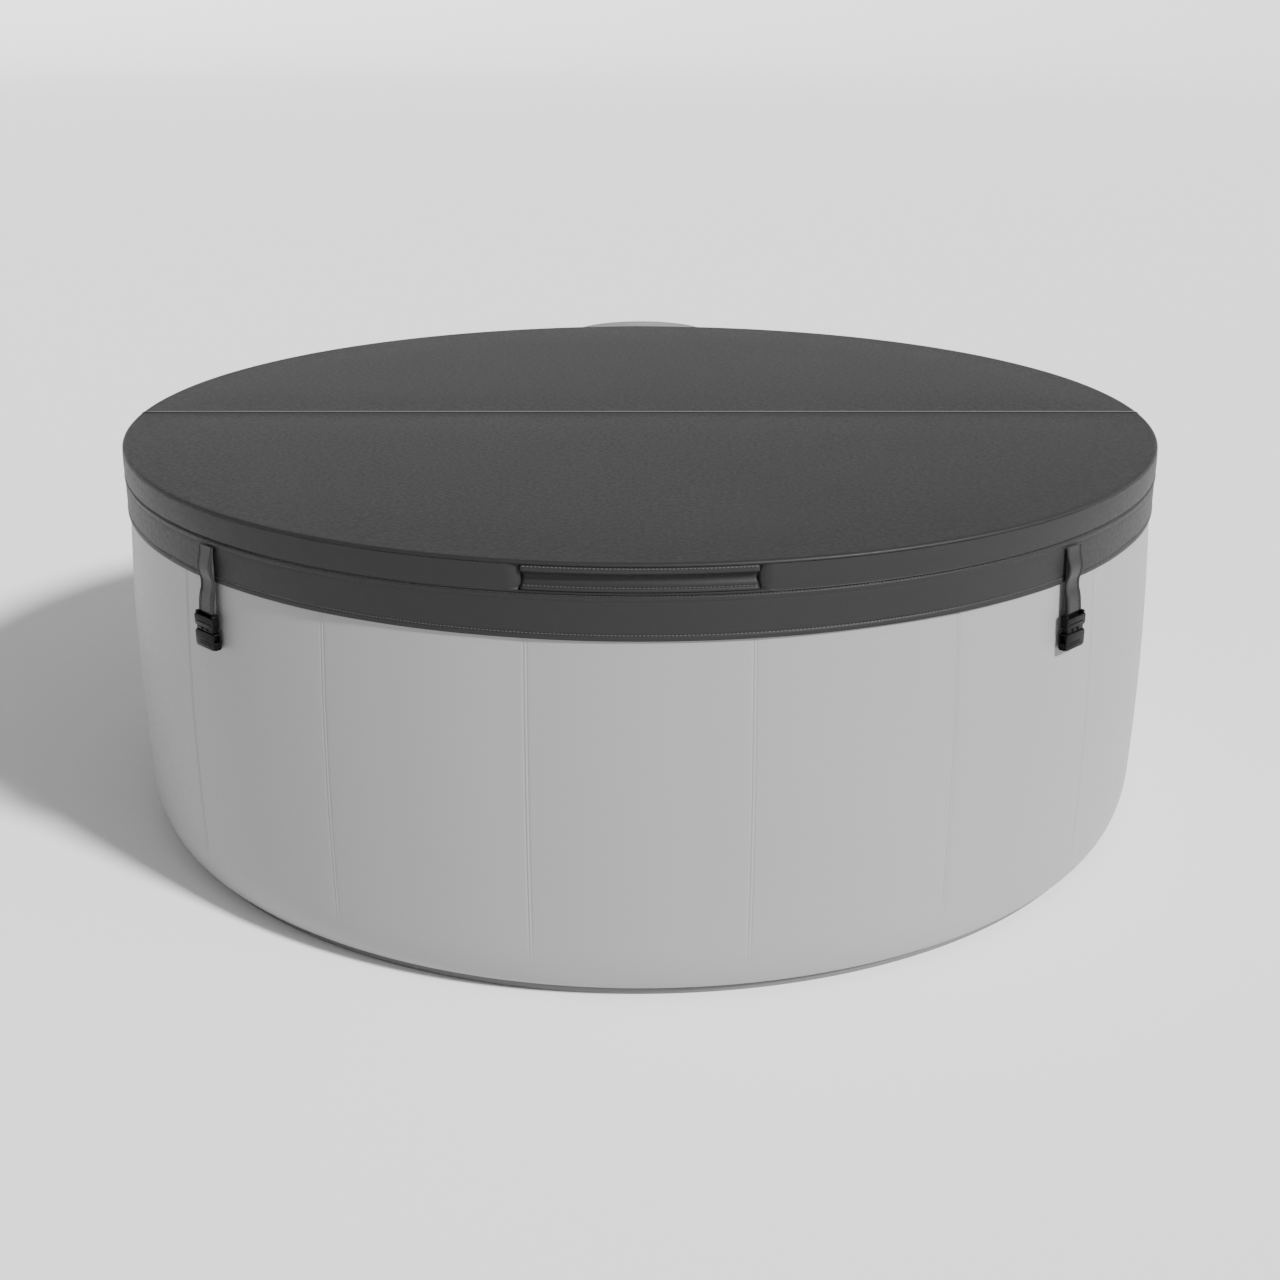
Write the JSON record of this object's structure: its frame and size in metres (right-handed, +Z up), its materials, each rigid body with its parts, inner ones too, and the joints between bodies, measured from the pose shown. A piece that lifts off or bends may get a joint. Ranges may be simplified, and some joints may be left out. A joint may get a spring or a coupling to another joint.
{
  "type": "inflatable hot tub",
  "caption": "Round inflatable hot tub with upright wall panels, a folding foam cover with buckled straps and a round pump and heater unit.",
  "frame": {"origin": "centre of the tub's foot, on the ground", "axes": "+Z up, -Y to the front with the grip, +Y to the pump unit"},
  "size_m": [2.0538, 2.5076, 0.763],
  "materials": {
    "pale_vinyl": "satin",
    "dark_band": "satin",
    "cover_vinyl": "satin",
    "foam": "matte",
    "strap_vinyl": "satin",
    "black_plastic": "satin",
    "grey_fitting": "satin",
    "pale_shell": "satin",
    "dark_shell": "satin",
    "button_plastic": "satin",
    "filter_paper": "matte",
    "bare_metal": "satin"
  },
  "bodies": {
    "tub": {"outer_wall": "pale_vinyl", "inner_wall": "pale_vinyl", "top_rim": "pale_vinyl", "beam_webs": "pale_vinyl", "tub_floor": "pale_vinyl", "base_ring": "dark_band", "ground_sheet": "dark_band", "wall_tab_front_left": "strap_vinyl", "wall_tab_front_right": "strap_vinyl", "wall_tab_rear_right": "strap_vinyl", "wall_tab_rear_left": "strap_vinyl", "bubble_ring": "grey_fitting", "air_valve": "grey_fitting", "drain_valve": "grey_fitting", "inlet_port": "grey_fitting", "outlet_port": "grey_fitting", "air_port": "grey_fitting", "unit_housing": "pale_shell", "unit_top": "pale_shell", "outlet_screen": "pale_shell", "unit_base": "dark_shell", "control_panel": "dark_shell", "cable_gland": "dark_shell", "pump_housing": "dark_shell", "blower_housing": "dark_shell", "heater_tube": "bare_metal", "pump_motor": "bare_metal"},
    "rear_cover": {"rear_jacket": "cover_vinyl", "rear_foam": "foam", "rear_skirt": "cover_vinyl", "hinge_strip": "cover_vinyl"},
    "front_cover": {"front_jacket": "cover_vinyl", "front_foam": "foam", "front_skirt": "cover_vinyl", "grip_channel": "cover_vinyl"},
    "strap_body_front_left": {"strap_front_left": "strap_vinyl", "buckle_plug_front_left": "black_plastic"},
    "socket_body_front_left": {"buckle_socket_front_left": "black_plastic"},
    "strap_body_front_right": {"strap_front_right": "strap_vinyl", "buckle_plug_front_right": "black_plastic"},
    "socket_body_front_right": {"buckle_socket_front_right": "black_plastic"},
    "strap_body_rear_right": {"strap_rear_right": "strap_vinyl", "buckle_plug_rear_right": "black_plastic"},
    "socket_body_rear_right": {"buckle_socket_rear_right": "black_plastic"},
    "strap_body_rear_left": {"strap_rear_left": "strap_vinyl", "buckle_plug_rear_left": "black_plastic"},
    "socket_body_rear_left": {"buckle_socket_rear_left": "black_plastic"},
    "air_valve_cap_body": {"air_valve_cap": "pale_shell"},
    "drain_cap_body": {"drain_cap": "dark_shell"},
    "inlet_nut_body": {"inlet_nut": "dark_shell"},
    "outlet_nut_body": {"outlet_nut": "dark_shell"},
    "air_nut_body": {"air_nut": "dark_shell"},
    "pump_impeller_body": {"pump_impeller": "grey_fitting"},
    "blower_fan_body": {"blower_fan": "grey_fitting"},
    "filter_body": {"filter_cartridge": "filter_paper"},
    "filter_cap_body": {"filter_cap": "pale_shell"},
    "power_button_body": {"power_button": "button_plastic"},
    "heat_button_body": {"heat_button": "button_plastic"},
    "filter_button_body": {"filter_button": "button_plastic"},
    "bubble_button_body": {"bubble_button": "button_plastic"}
  },
  "joints": [
    {"name": "cover_lift", "type": "slide", "parent": "tub", "child": "rear_cover", "axis": [0, 0, 1], "range_m": [0, 0.3]},
    {"name": "cover_fold", "type": "hinge", "parent": "rear_cover", "child": "front_cover", "pos_m": [0, 0, 0.763], "axis": [-1, 0, 0], "range_deg": [0, 178]},
    {"name": "strap_swing_front_left", "type": "hinge", "parent": "front_cover", "child": "strap_body_front_left", "pos_m": [-0.7207, -0.72575, 0.701], "axis": [-0.7096, 0.7046, 0], "range_deg": [0, 110]},
    {"name": "buckle_release_front_left", "type": "slide", "parent": "strap_body_front_left", "child": "socket_body_front_left", "axis": [0, 0, -1], "range_m": [0, 0.035]},
    {"name": "strap_swing_front_right", "type": "hinge", "parent": "front_cover", "child": "strap_body_front_right", "pos_m": [0.7207, -0.72575, 0.701], "axis": [-0.7096, -0.7046, 0], "range_deg": [0, 110]},
    {"name": "buckle_release_front_right", "type": "slide", "parent": "strap_body_front_right", "child": "socket_body_front_right", "axis": [0, 0, -1], "range_m": [0, 0.035]},
    {"name": "strap_swing_rear_right", "type": "hinge", "parent": "rear_cover", "child": "strap_body_rear_right", "pos_m": [0.65744, 0.78351, 0.701], "axis": [0.766, -0.6428, 0], "range_deg": [0, 110]},
    {"name": "buckle_release_rear_right", "type": "slide", "parent": "strap_body_rear_right", "child": "socket_body_rear_right", "axis": [0, 0, -1], "range_m": [0, 0.035]},
    {"name": "strap_swing_rear_left", "type": "hinge", "parent": "rear_cover", "child": "strap_body_rear_left", "pos_m": [-0.65744, 0.78351, 0.701], "axis": [0.766, 0.6428, 0], "range_deg": [0, 110]},
    {"name": "buckle_release_rear_left", "type": "slide", "parent": "strap_body_rear_left", "child": "socket_body_rear_left", "axis": [0, 0, -1], "range_m": [0, 0.035]},
    {"name": "air_valve_cap_turn", "type": "hinge", "parent": "tub", "child": "air_valve_cap_body", "pos_m": [0.35228, 0.96788, 0.56], "axis": [0.342, 0.9397, 0], "continuous": true},
    {"name": "drain_cap_turn", "type": "hinge", "parent": "tub", "child": "drain_cap_body", "pos_m": [-0.3557, 0.97728, 0.076], "axis": [-0.342, 0.9397, 0], "continuous": true},
    {"name": "inlet_nut_turn", "type": "hinge", "parent": "tub", "child": "inlet_nut_body", "pos_m": [-0.065, 1.048, 0.15], "axis": [0, 1, 0], "continuous": true},
    {"name": "outlet_nut_turn", "type": "hinge", "parent": "tub", "child": "outlet_nut_body", "pos_m": [0.065, 1.048, 0.15], "axis": [0, 1, 0], "continuous": true},
    {"name": "air_nut_turn", "type": "hinge", "parent": "tub", "child": "air_nut_body", "pos_m": [0, 1.048, 0.43], "axis": [0, 1, 0], "continuous": true},
    {"name": "pump_spin", "type": "hinge", "parent": "tub", "child": "pump_impeller_body", "pos_m": [-0.065, 1.14, 0.15], "axis": [0, 1, 0], "continuous": true},
    {"name": "blower_spin", "type": "hinge", "parent": "tub", "child": "blower_fan_body", "pos_m": [0, 1.268, 0.44], "axis": [0, 0, 1], "continuous": true},
    {"name": "filter_pull", "type": "slide", "parent": "tub", "child": "filter_body", "axis": [0, -1, 0], "range_m": [0, 0.12]},
    {"name": "filter_cap_turn", "type": "hinge", "parent": "filter_body", "child": "filter_cap_body", "pos_m": [-0.065, 0.74, 0.15], "axis": [0, -1, 0], "range_deg": [0, 60]},
    {"name": "power_button_press", "type": "slide", "parent": "tub", "child": "power_button_body", "axis": [0, 0, -1], "range_m": [0, 0.0015], "stiffness_N_per_m": 400, "springref_m": -0.002},
    {"name": "heat_button_press", "type": "slide", "parent": "tub", "child": "heat_button_body", "axis": [0, 0, -1], "range_m": [0, 0.0015], "stiffness_N_per_m": 400, "springref_m": -0.002},
    {"name": "filter_button_press", "type": "slide", "parent": "tub", "child": "filter_button_body", "axis": [0, 0, -1], "range_m": [0, 0.0015], "stiffness_N_per_m": 400, "springref_m": -0.002},
    {"name": "bubble_button_press", "type": "slide", "parent": "tub", "child": "bubble_button_body", "axis": [0, 0, -1], "range_m": [0, 0.0015], "stiffness_N_per_m": 400, "springref_m": -0.002}
  ]
}
